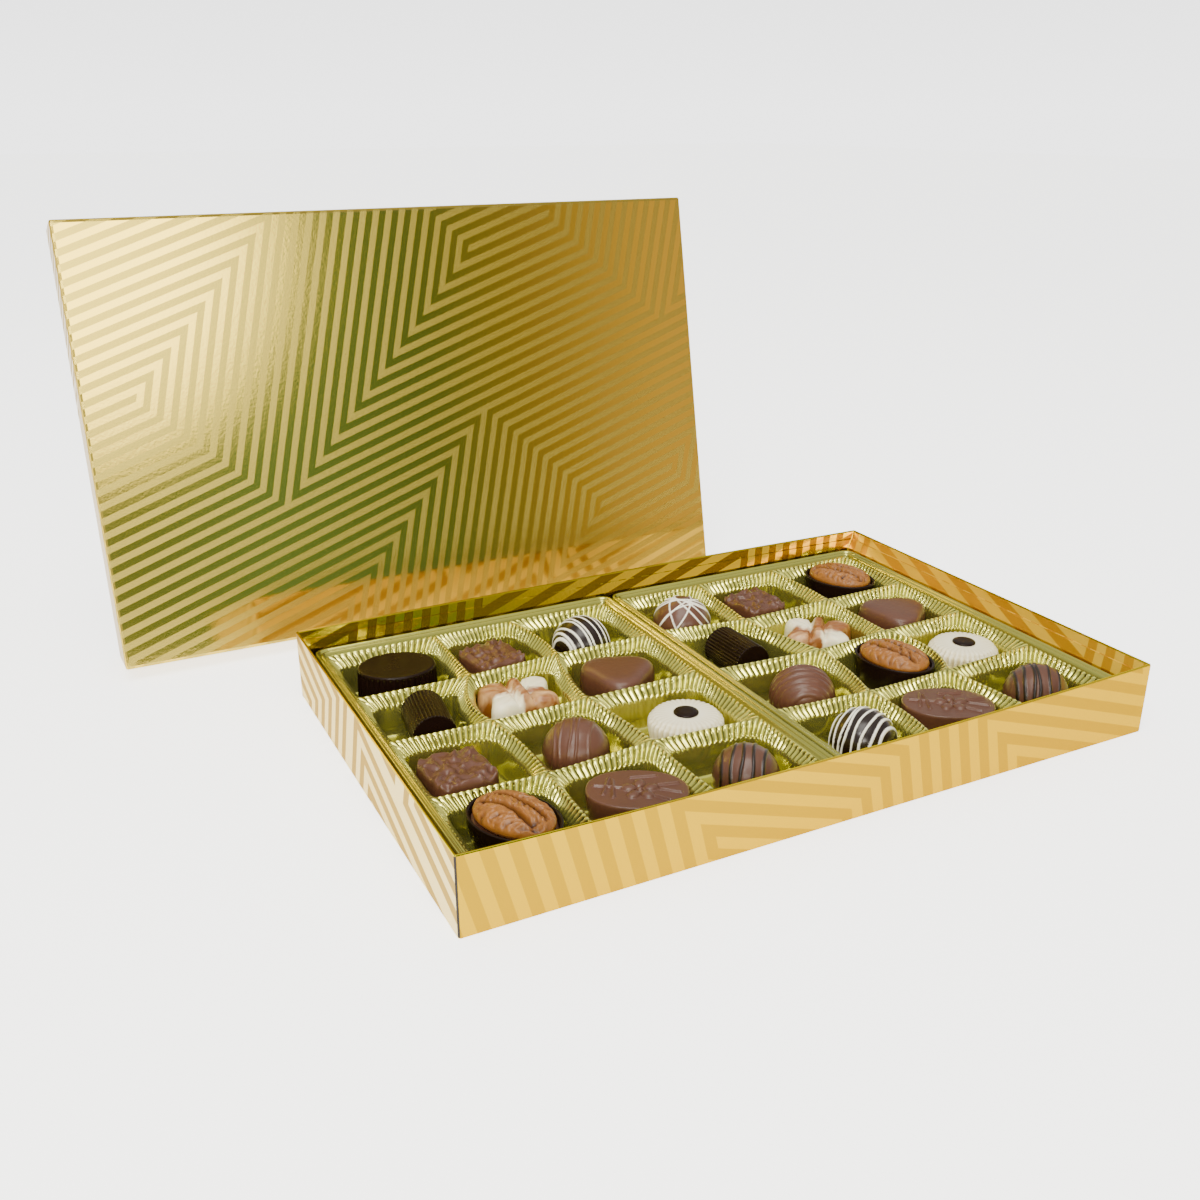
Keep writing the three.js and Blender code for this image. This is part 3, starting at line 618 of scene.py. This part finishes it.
# Tempered milk chocolate: a warm mid brown with a soft satin shine. The lines on it have their own tone.
milk = chocolate("milk_chocolate", ("#5C392A", "#4D2F22"), 0.33)
milk_dark_lines = chocolate("milk_chocolate_with_dark_lines", ("#59382A", "#4B2D20"), 0.33, "#1A0D07")
milk_white_lines = chocolate("milk_chocolate_with_white_lines", ("#5A3829", "#4C2D1F"), 0.3, "#F8F3E4")
# Tempered dark chocolate: almost black, with a smooth skin and small clear glints.
dark = chocolate("dark_chocolate", ("#1D0F0B", "#140A07"), 0.28, skin=0.06, shine=0.12)
dark_white_lines = chocolate(
    "dark_chocolate_with_white_lines", ("#1E0F0A", "#150A06"), 0.22, "#F8F3E4", skin=0.06, shine=0.35)


def place_piece(points, x, y, turn):
    """Turns points about the upright axis by degrees and moves them to a pocket's floor."""
    angle = math.radians(turn)
    moved = points.copy()
    moved[:, 0] = points[:, 0] * math.cos(angle) - points[:, 1] * math.sin(angle) + x
    moved[:, 1] = points[:, 0] * math.sin(angle) + points[:, 1] * math.cos(angle) + y
    moved[:, 2] += POCKET_FLOOR
    return moved


def food_piece(node, rings, x, y, turn, material, attributes=None, name=None):
    """Makes one closed piece of food from its rings, to ride on the box and stand for its CAD node."""
    rings = np.asarray(rings, float)
    points = place_piece(closed_points(rings), x, y, turn)
    faces = closed_faces(rings.shape[0], rings.shape[1])
    thing = mesh_object(name or node + "_praline", points, faces, material)
    for label, values in (attributes or {}).items():
        middles = [values[0].mean(), values[-1].mean()]
        point_attribute(thing, label, np.concatenate([values.ravel(), middles]))
    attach(thing, "root")
    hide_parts(node)


BALL_AROUND, BALL_UPWARD = 240, 104
BALL_MIDDLE = 0.72


def ball_rings(radius, lines):
    """A ball on a flat foot with raised lines.

    Points go up a sphere whose middle stands 0.72 of the radius above the foot. Each line lies in a
    plane at an offset from the middle. Near it a point is raised by a power of one minus the squared
    share of its distance to the plane, and a slow sine makes the line wander.
    """
    foot = math.acos(BALL_MIDDLE)
    rise = np.linspace(foot, math.pi, BALL_UPWARD + 1)[:-1, None]
    angle = np.linspace(0, 2 * math.pi, BALL_AROUND, endpoint=False)[None, :]
    x = np.sin(rise) * np.cos(angle)
    y = np.sin(rise) * np.sin(angle)
    z = -np.cos(rise) * np.ones_like(angle)
    lift = np.zeros_like(x)
    line_share = np.zeros_like(x)
    for number, (heading, tilt, offset, half_width, height) in enumerate(lines):
        h, t = math.radians(heading), math.radians(tilt)
        outward = x * math.cos(h) * math.cos(t) + y * math.sin(h) * math.cos(t) + z * math.sin(t)
        along = x * -math.sin(h) + y * math.cos(h)
        distance = radius * outward - offset + 0.35 * np.sin(3.1 * along + 2.3 * z + number * 1.9)
        share = np.clip(1 - (distance / half_width) ** 2, 0, 1)
        lift = np.maximum(lift, height * share ** 0.8)
        line_share = np.maximum(line_share, np.clip(share * 3, 0, 1))
    reach = radius + lift
    return np.stack([x * reach, y * reach, np.maximum(radius * BALL_MIDDLE + z * reach, 0)], -1), line_share


def side_by_side(heading, offsets, half_width, height, tilt=0.0):
    """Lines that lie side by side: one plane heading for all."""
    return [(heading, tilt, offset, half_width, height) for offset in offsets]


# Each ball has its place and radius in millimetres, and its lines as heading and tilt in degrees, offset,
# half width and height.
BALLS = [
    ("striped_ball_left_back", -30.6, 72.0, 14.5, dark_white_lines, "dark_chocolate",
     side_by_side(196, [12.6, 10.9, 8.4, 4.6, 2.4, -1.6, -5.4, -9.4], 0.48, 0.4, -4)),
    ("striped_ball_left_middle", -81.2, -25.8, 14.3, milk, "milk_chocolate",
     side_by_side(-33, [-8.3, -5.6, -1.4, 1.2, 6.6], 0.6, 0.42)),
    ("striped_ball_left_front", -29.0, -75.6, 13.8, milk_dark_lines, "milk_chocolate",
     side_by_side(-38, [-9.6, -5.4, -1.4, 3.0, 7.4], 0.75, 0.45)),
    ("striped_ball_right_back", 27.0, 70.4, 15.1, milk_white_lines, "milk_chocolate",
     [(52, 28, 4.5, 0.42, 0.45), (70, 36, 6.6, 0.42, 0.45), (20, 34, 6.0, 0.42, 0.45),
      (-10, 40, 7.2, 0.42, 0.45), (110, 30, 3.4, 0.42, 0.45), (150, 36, 4.6, 0.4, 0.4),
      (84, 14, -3.0, 0.4, 0.4), (-48, 30, 2.6, 0.4, 0.4), (36, 52, 9.6, 0.4, 0.4)]),
    ("ridged_ball_right", 33.5, -27.0, 14.7, milk, "milk_chocolate",
     side_by_side(-117, [11.8, 9.2, 6.2, 3.0, -0.4, -4.0], 1.15, 0.5, -6)),
    ("striped_ball_right_front", 31.4, -73.8, 14.4, dark_white_lines, "dark_chocolate",
     side_by_side(-66, [-11.2, -7.6, -4.2, -2.4, 1.3, 4.9, 8.2, 11.2], 0.52, 0.42)),
    ("striped_ball_right_corner", 129.4, -75.4, 14.7, milk_dark_lines, "milk_chocolate",
     side_by_side(-35, [-10.4, -7.0, -3.2, -1.2, 3.6, 8.0], 0.75, 0.45)),
]
for name, x, y, radius, material, slot, lines in BALLS:
    rings, line_share = ball_rings(radius, lines)
    food_piece(name, rings, x, y, 0, material, {"line": line_share})

# Dark oval
# A moulded oval of dark chocolate with fine upright flutes round its side and a smooth flat top.
# Its top edge is softly rounded and its top dips a little towards the middle.


def oval_rings(half_x, half_y, levels, flutes=0, power=2.0, count=240):
    """Rings of an oval piece from its foot to the middle of its top.

    The outline is a superellipse: a power of 2 gives an ellipse and a higher one a squarer shape. A
    level is a share of the half size, a height and, where the piece is fluted, a flute depth. Flutes
    are rounded outwards, with sharp valleys, as the size of a sine, and each has eight points.
    """
    count = flutes * 8 if flutes else count
    angle = np.linspace(0, 2 * math.pi, count, endpoint=False)
    cos, sin = np.cos(angle), np.sin(angle)
    x = np.sign(cos) * np.abs(cos) ** (2 / power)
    y = np.sign(sin) * np.abs(sin) ** (2 / power)
    groove = (1 - np.abs(np.sin(flutes * angle / 2))) ** 0.8 if flutes else np.zeros(count)
    rings = []
    for share, z, *depth in levels:
        cut = depth[0] * groove if depth else 0
        ring_x, ring_y = (half_x * share - cut) * x, (half_y * share - cut) * y
        rings.append(np.stack([ring_x, ring_y, np.full(count, z)], 1))
    return np.array(rings)


dark_oval = oval_rings(19.6, 16.2, [
    (0.93, 0, 0.3), (0.965, 0.15, 0.7), (0.972, 0.6, 1.1), (0.965, 4, 1.1), (0.955, 8, 1.1),
    (0.945, 12, 1.1), (0.935, 16, 1.1), (0.932, 17.0, 0.6), (0.93, 17.5, 0.05), (0.92, 18.1),
    (0.9, 18.5), (0.87, 18.6), (0.82, 18.45), (0.7, 18.3), (0.45, 18.2), (0.2, 18.15)],
    flutes=38)
food_piece("dark_oval", dark_oval, -126.2, 74.6, -12, dark)

# White rounds
# Round moulded pieces of white chocolate with a scalloped side, fine rays on the shoulder
# and a drop of dark chocolate in the middle.

# White chocolate: creamy and satin. The line attribute paints shade into the valleys between the scallops,
# as a darker cream.
white = chocolate("white_chocolate", ("#FCF5DC", "#F7ECC8"), 0.4, "#C9B67C")
DEEPEST_SCALLOP = 1.8
for side, x, y in (("left", -27.6, -25.6), ("right", 133.6, -23.0)):
    scalloped = oval_rings(16.9, 16.9, [
        (0.84, 0, 0.6), (0.88, 0.3, 1.3), (0.92, 3, 1.7), (0.97, 7, 1.8), (1.0, 10.6, 1.8),
        (1.0, 12.0, 1.75), (0.985, 12.9, 1.6), (0.955, 13.5, 1.4), (0.925, 13.7, 1.2), (0.905, 14.1, 1.1),
        (0.885, 14.9, 1.05), (0.85, 15.4, 0.95), (0.79, 15.65, 0.8), (0.7, 15.75, 0.6), (0.6, 15.8, 0.4),
        (0.5, 15.8, 0.2), (0.44, 15.8), (0.2, 15.8)], flutes=36)
    reach = np.hypot(scalloped[..., 0], scalloped[..., 1])
    # Painted shade: the scallops' valleys get the darker cream, the more the deeper they are cut.
    valley = np.clip((reach.max(1, keepdims=True) - reach) / DEEPEST_SCALLOP, 0, 1) ** 0.8
    food_piece(f"white_round_{side}", scalloped, x, y, 0, white, {"line": valley * 0.8})
    drop = oval_rings(5.6, 5.6, [
        (0.9, 15.85), (1.0, 16.05), (1.0, 16.3), (0.94, 16.7), (0.8, 16.95), (0.5, 17.0),
        (0.2, 16.95)], count=96)
    food_piece(f"dark_dot_{side}", drop, x, y, 0, dark, name=f"dark_drop_{side}")

# Logs
# Small logs of dark chocolate lying on their side, finely fluted along their length.
# Their ends are cut square with a small bevel.
LOG_RADIUS = 10
for side, x, y, turn in (("left", -127.4, 27.8, -8), ("right", 32.8, 26.8, 2)):
    upright = oval_rings(LOG_RADIUS, LOG_RADIUS, [
        (0.5, -13.6), (0.9, -13.6), (0.955, -13.75), (0.985, -13.6, 0.2), (1.0, -13.2, 0.85),
        (1.0, -4, 0.85), (1.0, 4, 0.85), (1.0, 13.2, 0.85), (0.985, 13.6, 0.2), (0.955, 13.75),
        (0.9, 13.6), (0.5, 13.6)], flutes=36)
    lying = np.stack([upright[..., 0], -upright[..., 2], upright[..., 1] + LOG_RADIUS], -1)
    food_piece(f"log_{side}", lying, x, y, turn, dark)

# Craggy squares
# Squares of milk chocolate whose tops are rough with chopped nuts under the coating.
# Their sides are plain and slope in towards the top.


def waves(x, y, size, seed, octaves=4):
    """Smooth unevenness, mostly from -1 to 1: sines in many directions, each octave finer and weaker."""
    rng = np.random.default_rng(seed)
    total, weight = 0, 0
    for octave in range(octaves):
        strength = 0.55 ** octave
        for _ in range(5):
            heading = rng.uniform(0, 2 * math.pi)
            length = size / 1.9 ** octave * rng.uniform(0.75, 1.3)
            phase = rng.uniform(0, 2 * math.pi)
            along = x * math.cos(heading) + y * math.sin(heading)
            total = total + strength * np.sin(2 * math.pi / length * along + phase)
            weight += strength
    return total / weight * 2


# The rings of the rough top, as shares of the half size.
CRAG_TOP = [0.945, 0.91, 0.87, 0.82, 0.77, 0.72, 0.66, 0.6, 0.53, 0.46, 0.39, 0.32, 0.24, 0.16, 0.08]


def craggy_rings(half_x, half_y, seed):
    """A rounded square whose top rises to sharp creases where uneven waves cross zero, with small lumps."""
    levels = [(0.94, 0), (0.99, 0.4), (1.0, 2), (1.0, 5), (0.99, 8), (0.98, 11), (0.965, 13)]
    levels += [(share, 14.2) for share in CRAG_TOP]
    rings = oval_rings(half_x, half_y, levels, power=5, count=200)
    x, y = rings[..., 0], rings[..., 1]
    from_edge = 1 - np.maximum(np.abs(x) / half_x, np.abs(y) / half_y)
    top = np.clip((rings[..., 2] - 11) / 3, 0, 1) * np.clip(from_edge * 9, 0.25, 1)
    crease = np.clip(1 - np.abs(waves(x, y, 12, seed, 2)), 0, 1)
    lumps = waves(x + 20, y, 6, seed + 1, 2)
    rings[..., 2] += top * (2.1 * crease ** 1.5 + 0.7 * lumps + 0.4)
    side = 1 + 0.012 * waves(x * 0.6 + y, rings[..., 2] * 1.3, 11, seed + 2)
    rings[..., :2] *= side[..., None]
    return rings


for side, x, y, turn, half_x, half_y, seed in (
        ("left_back", -79.0, 72.0, 12, 13.2, 14.8, 3), ("left_front", -133.6, -24.0, 4, 14.2, 15.0, 8),
        ("right", 73.6, 72.4, 6, 12.8, 15.2, 14)):
    rings = craggy_rings(half_x, half_y, seed)
    food_piece(f"craggy_square_{side}", rings, x, y, turn, milk)

# Triangles
# Smooth milk chocolates on a rounded three-cornered foot.
# The top is gently domed and meets the side in a soft edge.


def outline_rings(outline, levels, count):
    """Rings whose radius at each angle is the outline's times the level's share. A level adds its height."""
    angle = np.linspace(0, 2 * math.pi, count, endpoint=False)
    radius = outline(angle)
    return np.array([
        np.stack([radius * share * np.cos(angle), radius * share * np.sin(angle), np.full(count, z)], 1)
        for share, z in levels])


def triangle_outline(angle):
    """A circle with a radius of 17 mm, and a cosine of three humps on it for the corners."""
    return 17 + 2.2 * np.cos(3 * angle)


domed = outline_rings(triangle_outline, [
    (0.86, 0), (0.905, 0.3), (0.94, 2), (0.985, 5), (1.0, 8), (0.99, 12), (0.97, 14.6), (0.945, 16.0),
    (0.91, 17.0), (0.86, 17.7), (0.78, 18.2), (0.66, 18.55), (0.5, 18.75), (0.32, 18.85), (0.14, 18.9)], 220)
for side, x, y in (("left", -34.0, 25.4), ("right", 130.6, 25.2)):
    food_piece(f"triangle_{side}", domed, x, y, 10, milk)

# Butterflies
# Moulded butterflies in white and caramel chocolate run together, with a ridged body between four round
# wings. The wings are domed, and each ends in a soft upright side.

# White and caramel chocolate poured into one mould: cream beside tan, in soft streaks about 18 mm long.
# A little light passes through it, as through all white chocolate.
STREAK_MM = 18
marbled, tree, surface = new_material("marbled_white_and_caramel_chocolate")
place = add_node(tree, "TexCoord").outputs["Object"]
swirl = add_node(tree, "TexNoise", {
    "Vector": place, "Scale": 1000 / STREAK_MM, "Detail": 3.0, "Distortion": 1.6})
blend = add_node(tree, "Attribute", attribute_name="white_part")
mixed = add_node(tree, "Math", {0: blend.outputs["Fac"], 1: swirl.outputs[0]}, operation="ADD")
edge = add_node(tree, "MapRange", {"Value": mixed.outputs[0], "From Min": 0.86, "From Max": 1.12})
streaks = add_node(tree, "MapRange", {"Value": swirl.outputs[0], "From Min": 0.42, "From Max": 0.64})
caramel = add_node(tree, "Mix", {
    "Factor": streaks.outputs[0], 6: linear("#87501F"), 7: linear("#D2A472")}, data_type="RGBA")
colours = add_node(tree, "Mix", {
    "Factor": edge.outputs[0], 6: caramel.outputs[2], 7: linear("#F6ECC8")}, data_type="RGBA")
shader = add_node(tree, "BsdfPrincipled", {
    "Base Color": colours.outputs[2], "Roughness": 0.4, "Subsurface Weight": 0.2,
    "Subsurface Radius": (0.9, 0.6, 0.4), "Subsurface Scale": 0.0025})
tree.links.new(shader.outputs[0], surface)

# A wing is an angle, a reach in millimetres and a spread, both angles in radians.
WINGS = [(0.68, 10.2, 0.5), (2.46, 10.2, 0.5), (-0.6, 8.4, 0.45), (-2.54, 8.4, 0.45)]


def butterfly_outline(angle):
    """A small circle with four humps for the wings: each hump is a bell curve over the angle to its wing."""
    radius = np.full_like(angle, 10.3)
    for toward, reach, spread in WINGS:
        apart = np.arctan2(np.sin(angle - toward), np.cos(angle - toward))
        radius = radius + reach * np.exp(-((apart / spread) ** 2))
    return radius


BUTTERFLY_LEVELS = [
    (0.92, 0), (0.96, 0.4), (1.0, 4), (1.0, 9), (0.985, 12.5), (0.955, 14.6), (0.91, 15.9), (0.85, 16.6),
    (0.77, 17.0)]
BUTTERFLY_LEVELS += [(share, 17.1) for share in (0.68, 0.59, 0.5, 0.41, 0.32, 0.23, 0.14, 0.06)]
for side, x, y, turn, lean in (("left", -84.4, 26.0, -4, 1), ("right", 78.8, 22.4, -36, -1)):
    rings = outline_rings(butterfly_outline, BUTTERFLY_LEVELS, 320)
    px, py = rings[..., 0], rings[..., 1]
    top = np.clip((rings[..., 2] - 14) / 2.5, 0, 1)
    # Body, grooves beside it and seam between the wings are bell curves. The veins fan out as a sine.
    body = np.exp(-((px / 2.6) ** 4))
    groove = np.exp(-(((np.abs(px) - 3.6) / 1.1) ** 2))
    seam = np.exp(-((py + 1.5) / 1.2) ** 2) * (np.abs(px) > 3)
    rings[..., 2] += top * (1.9 * body * (1 + 0.25 * np.sin(py * 2.1)) - 1.9 * groove - 1.6 * seam)
    vein = np.abs(np.sin(9 * np.arctan2(py, px))) ** 0.5
    rings[..., 2] -= top * 0.35 * (1 - vein) * (1 - body)
    white_part = 0.5 + 0.42 * np.tanh(lean * px * py / 30) - 0.25 * body
    food_piece(
        f"butterfly_{side}", rings, x, y, turn, marbled, {"white_part": white_part})

# Relief ovals
# Milk chocolate ovals, wider at the top than at the foot, with a small flower and thin stems in relief.
# The relief stands little more than a millimetre proud of the flat top.
RELIEF_TOP = 16.2
RELIEF_HEIGHT = 1.4
FLOWER_X, FLOWER_Y = 1, -1
# A stem is a straight line from one point to another, in millimetres from the oval's middle.
STEMS = [
    (-17, 1, -5, 0), (-13, -5, -11.5, 7), (-9, -7, -10, 6), (8, 3, 16, 5), (7, -5, 13, -8), (9, 0, 17, -2),
    (-3, 8, 7, 10)]
for side, x, y, turn in (("left", -77.8, -73.0, -30), ("right", 80.8, -70.8, -32)):
    levels = [(0.87, 0), (0.9, 0.3), (0.94, 5), (0.98, 10), (1.0, 14), (1.0, 15.2), (0.992, 15.9)]
    levels += [(share, RELIEF_TOP) for share in (0.975, *np.linspace(0.95, 0.04, 44))]
    rings = oval_rings(20.3, 14.6, levels, power=2.2, count=300)
    px, py = rings[..., 0], rings[..., 1]
    from_x, from_y = px - FLOWER_X, py - FLOWER_Y
    top = rings[..., 2] >= RELIEF_TOP - 0.01
    # Round a small middle lie five petals, as oval domes. A stem is rounded across its straight line.
    relief = np.clip(1 - (np.hypot(from_x, from_y) / 1.5) ** 2, 0, 1)
    for petal in range(5):
        toward = 2 * math.pi * petal / 5 + 0.4
        outward = from_x * math.cos(toward) + from_y * math.sin(toward) - 4.6
        across = from_y * math.cos(toward) - from_x * math.sin(toward)
        relief = np.maximum(relief, np.clip(1 - (outward / 3.0) ** 2 - (across / 2.4) ** 2, 0, 1) ** 0.5)
    for ax, ay, bx, by in STEMS:
        length = math.hypot(bx - ax, by - ay)
        along = np.clip(((px - ax) * (bx - ax) + (py - ay) * (by - ay)) / length ** 2, 0, 1)
        off = np.hypot(px - ax - along * (bx - ax), py - ay - along * (by - ay))
        relief = np.maximum(relief, 0.7 * np.clip(1 - (off / 0.75) ** 2, 0, 1))
    rings[..., 2] += top * RELIEF_HEIGHT * relief
    food_piece(f"relief_oval_{side}", rings, x, y, turn, milk)

# Pecan cups
# Thin boat-shaped cups of dark chocolate, filled with soft milk chocolate, each with half a pecan on top.
# The nut is wrinkled, with two deep furrows along its back.

# Pecan skin: tan mottled with brown, dark in the furrows, with a thin oily sheen. The mottles are about
# 3.8 mm wide.
MOTTLE_MM = 3.8
pecan_skin, tree, surface = new_material("pecan_skin")
place = add_node(tree, "TexCoord").outputs["Object"]
mottle = add_node(tree, "TexNoise", {
    "Vector": place, "Scale": 1000 / MOTTLE_MM, "Detail": 5.0, "Roughness": 0.65})
furrow = add_node(tree, "Attribute", attribute_name="furrow")
tan = add_node(tree, "Mix", {
    "Factor": mottle.outputs[0], 6: linear("#683C16"), 7: linear("#A46A2E")}, data_type="RGBA")
brown = add_node(tree, "Mix", {
    "Factor": furrow.outputs["Fac"], 6: tan.outputs[2], 7: linear("#3A1A06")}, data_type="RGBA")
nut_bump = add_node(tree, "Bump", {"Height": mottle.outputs[0], "Strength": 0.5, "Distance": 0.0006})
shader = add_node(tree, "BsdfPrincipled", {
    "Base Color": brown.outputs[2], "Roughness": 0.34, "Specular IOR Level": 0.35,
    "Normal": nut_bump.outputs[0]})
tree.links.new(shader.outputs[0], surface)

CUP_HALF_X, CUP_HALF_Y = 20.4, 15.3
NUT_SEAT = 16.5
cup_shell = oval_rings(CUP_HALF_X, CUP_HALF_Y, [
    (0.7, 0), (0.745, 0.3), (0.8, 2), (0.92, 8), (0.97, 13), (0.995, 17.6),
    (0.998, 18.1), (0.99, 18.35), (0.965, 18.4), (0.94, 18.3), (0.925, 17.8), (0.895, 13),
    (0.845, 8), (0.74, 2.6), (0.6, 1.7)], count=160)
cream = oval_rings(CUP_HALF_X, CUP_HALF_Y, [
    (0.6, 2.0), (0.71, 3.0), (0.82, 8), (0.87, 13), (0.895, 15.6), (0.885, 15.9),
    (0.84, 15.95), (0.6, 16.1), (0.2, 16.2)], count=128)


def pecan_rings(seed):
    """Half a pecan: an oval dome cut by two furrows and a notch, and raised where uneven waves cross zero.

    The dome's height is a power of a cosine over the share of its half size. The second result is 1
    deep in a furrow and 0 on the bare skin.
    """
    dome = np.linspace(math.pi / 2, 0.03, 60)
    shares = np.concatenate([[0.93, 0.98], np.sin(dome)])
    heights = np.concatenate([[0.0, 0.7], 1.4 + 6.2 * np.cos(dome) ** 0.85])
    nut = oval_rings(17.6, 12.2, zip(shares, heights), power=2.15, count=220)
    px, py = nut[..., 0], nut[..., 1]
    upper = np.clip((nut[..., 2] - 1.2) / 3, 0, 1)
    bend = 0.7 * np.sin(px * 0.22 + seed)
    from_furrow = np.abs(py + bend) - 3.1 - 0.05 * np.abs(px)
    valley = np.exp(-((from_furrow / 1.0) ** 2)) * np.clip((16 - np.abs(px)) / 4, 0, 1)
    wrinkle = 1 - np.abs(waves(px * 1.5 + 3 * np.sin(py * 0.5), py * 0.8, 7.5, seed, 3))
    notch = np.exp(-(((px - 12) / 3.2) ** 2 + (py / 1.4) ** 2))
    nut[..., 2] -= upper * (2.3 * valley + 0.9 * notch) - upper * 1.3 * (wrinkle - 0.6) * (1 - valley)
    nut[..., 2] = np.maximum(nut[..., 2], 0) + NUT_SEAT
    return nut, np.clip(valley * 0.9 + np.clip(0.55 - wrinkle, 0, 1) * 1.3, 0, 1) * upper


for side, x, y, turn, seed in (
        ("left", -129.4, -72.4, -66, 5), ("right_back", 131.4, 74.0, -66, 21),
        ("right_middle", 88.2, -24.8, -76, 33)):
    food_piece(
        f"pecan_cup_{side}", cup_shell, x, y, turn, dark, name=f"cup_{side}_shell")
    food_piece(
        f"pecan_filling_{side}", cream, x, y, turn, milk, name=f"cup_{side}_cream")
    nut, furrow_share = pecan_rings(seed)
    food_piece(
        f"pecan_half_{side}", nut, x, y, turn, pecan_skin, {"furrow": furrow_share},
        f"pecan_{side}_nut")
